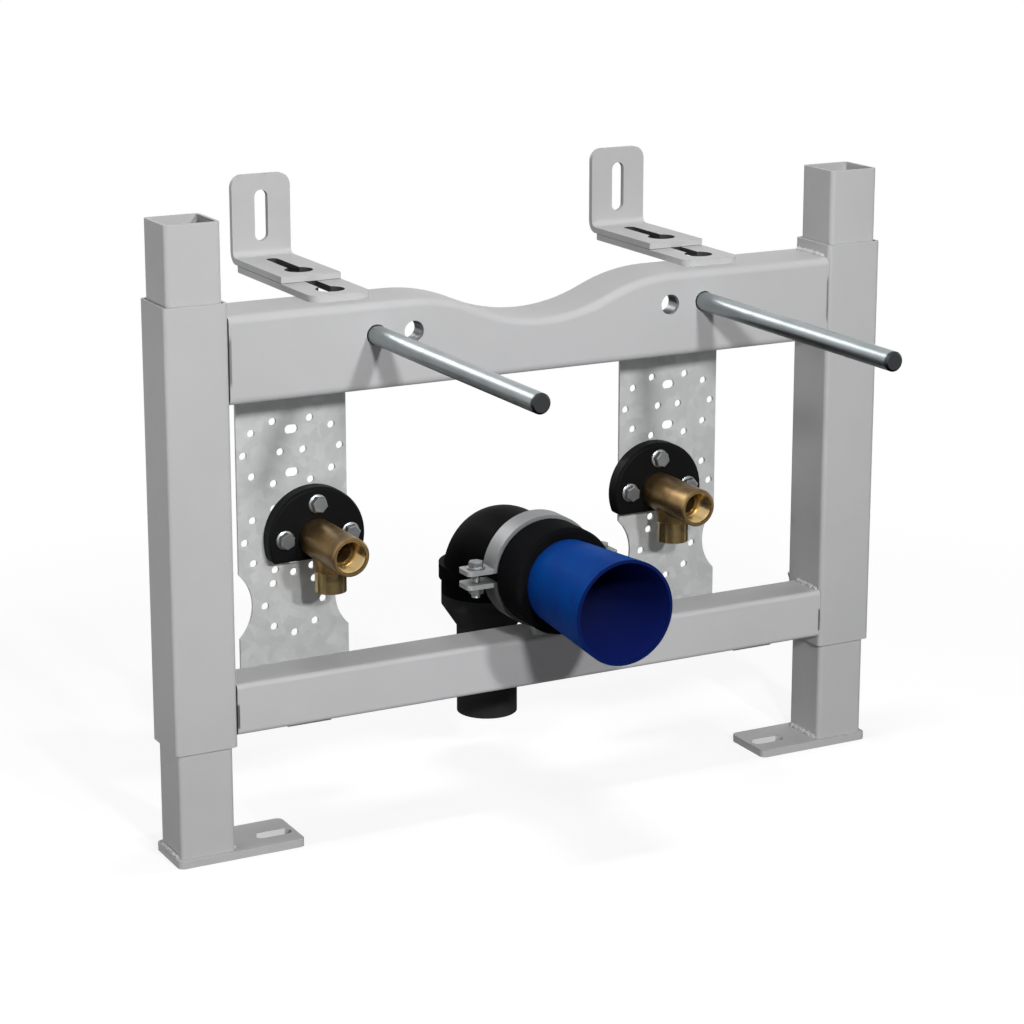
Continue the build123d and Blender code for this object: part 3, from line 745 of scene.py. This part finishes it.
def makeFloor(look):  # fades to white away from the frame, and keeps the shadow near it
    bm = bmesh.new()
    bmesh.ops.create_grid(bm, x_segments=4, y_segments=4, size=look["floorHalf"])
    floor = addToScene("studioFloor", closeMesh(bm, "studioFloor"))
    material, tree, shader = startMaterial("paleFloor", Base_Color=shade(look["floor"]), Roughness=0.9,
                                           Specular_IOR_Level=0.0, Emission_Color=(1, 1, 1, 1))
    coords = addNode(tree, "ShaderNodeTexCoord", (-900, -300))
    away = addNode(tree, "ShaderNodeVectorMath", (-700, -300), operation="LENGTH")
    white = setSockets(addNode(tree, "ShaderNodeEmission", (100, -200)), Strength=1.0)
    mix = addNode(tree, "ShaderNodeMixShader", (500, 100))
    seen = seenDirectly(tree, (-900, 300))
    link = tree.links.new
    link(coords.outputs["Object"], away.inputs[0])
    far = smoothRange(tree, (-500, -300), away.outputs["Value"], From_Min=look["whiteFrom"],
                      From_Max=look["whiteTo"])
    link(addMath(tree, "MULTIPLY", (-200, 200), seen, look["floorGlow"]), shader.inputs["Emission Strength"])
    link(addMath(tree, "MULTIPLY", (-200, -100), seen, far), mix.inputs["Fac"])
    link(shader.outputs["BSDF"], mix.inputs[1])
    link(white.outputs["Emission"], mix.inputs[2])
    link(mix.outputs["Shader"], tree.nodes["Material Output"].inputs["Surface"])
    floor.data.materials.append(material)


# a dark card lying behind and under the frame, which only reflections see
flagLook = {"low": (-1.8, -0.7), "high": (1.8, 3.0), "height": 0.003, "tone": 0.02}


def makeFlag(look):
    (left, front), (right, back) = look["low"], look["high"]
    corners = [(left, front), (right, front), (right, back), (left, back)]
    bm = bmesh.new()
    bm.faces.new([bm.verts.new((x, y, look["height"])) for x, y in corners])
    flag = addToScene("darkFlag", closeMesh(bm, "darkFlag"))
    flag.data.materials.append(startMaterial("darkFlag", Base_Color=shade((look["tone"],) * 3), Roughness=1.0,
                                             Specular_IOR_Level=0.0)[0])
    flag.visible_camera = flag.visible_diffuse = flag.visible_shadow = False
    flag.visible_transmission = flag.visible_volume_scatter = False


def makeWorld(look):
    world = bpy.data.worlds.new("whiteStudio")
    bpy.context.scene.world = world
    world.use_nodes = True
    tree = world.node_tree
    white = setSockets(tree.nodes["Background"], Color=(1, 1, 1, 1), Strength=1.0)
    ambient = setSockets(addNode(tree, "ShaderNodeBackground", (0, -150)), Color=shade(look["ambientColour"]),
                         Strength=look["ambient"])
    mix = addNode(tree, "ShaderNodeMixShader", (250, 100))
    link = tree.links.new
    link(seenDirectly(tree, (-700, 300)), mix.inputs["Fac"])
    link(ambient.outputs["Background"], mix.inputs[1])
    link(white.outputs["Background"], mix.inputs[2])
    link(mix.outputs["Shader"], tree.nodes["World Output"].inputs["Surface"])


def makeSoftbox(name, place, size, power):
    light = bpy.data.lights.new(name, "AREA")
    light.shape = "RECTANGLE"
    light.size, light.size_y = size
    light.energy = power
    lamp = addToScene(name, light)
    lamp.location = place
    lamp.visible_camera = False
    lamp.rotation_mode = "QUATERNION"
    lamp.rotation_quaternion = (lampTarget - Vector(place)).to_track_quat("-Z", "Y")


makeFloor(stageLook)
makeFlag(flagLook)
makeWorld(stageLook)
for lampName, (place, size, power) in lampLook.items():
    makeSoftbox(lampName, place, size, power)
print("studio ready")

# camera at the angle of the photograph
view = {"place": (-0.8136, -1.4646, 0.6566), "azimuth": -27.82, "elevation": 13.36, "lens": 98.75,
        "sensor": 36.0, "shift": -0.0898}


def makeCamera(look):
    data = bpy.data.cameras.new("photoCamera")
    data.sensor_width = look["sensor"]
    data.lens = look["lens"]
    data.shift_y = look["shift"]
    camera = addToScene("photoCamera", data)
    camera.location = look["place"]
    around, above = math.radians(look["azimuth"]), math.radians(look["elevation"])
    away = Vector((math.sin(around) * math.cos(above), -math.cos(around) * math.cos(above), math.sin(above)))
    camera.rotation_mode = "QUATERNION"
    camera.rotation_quaternion = (-away).to_track_quat("-Z", "Y")
    bpy.context.scene.camera = camera


makeCamera(view)
bpy.context.scene.view_settings.view_transform = "Standard"
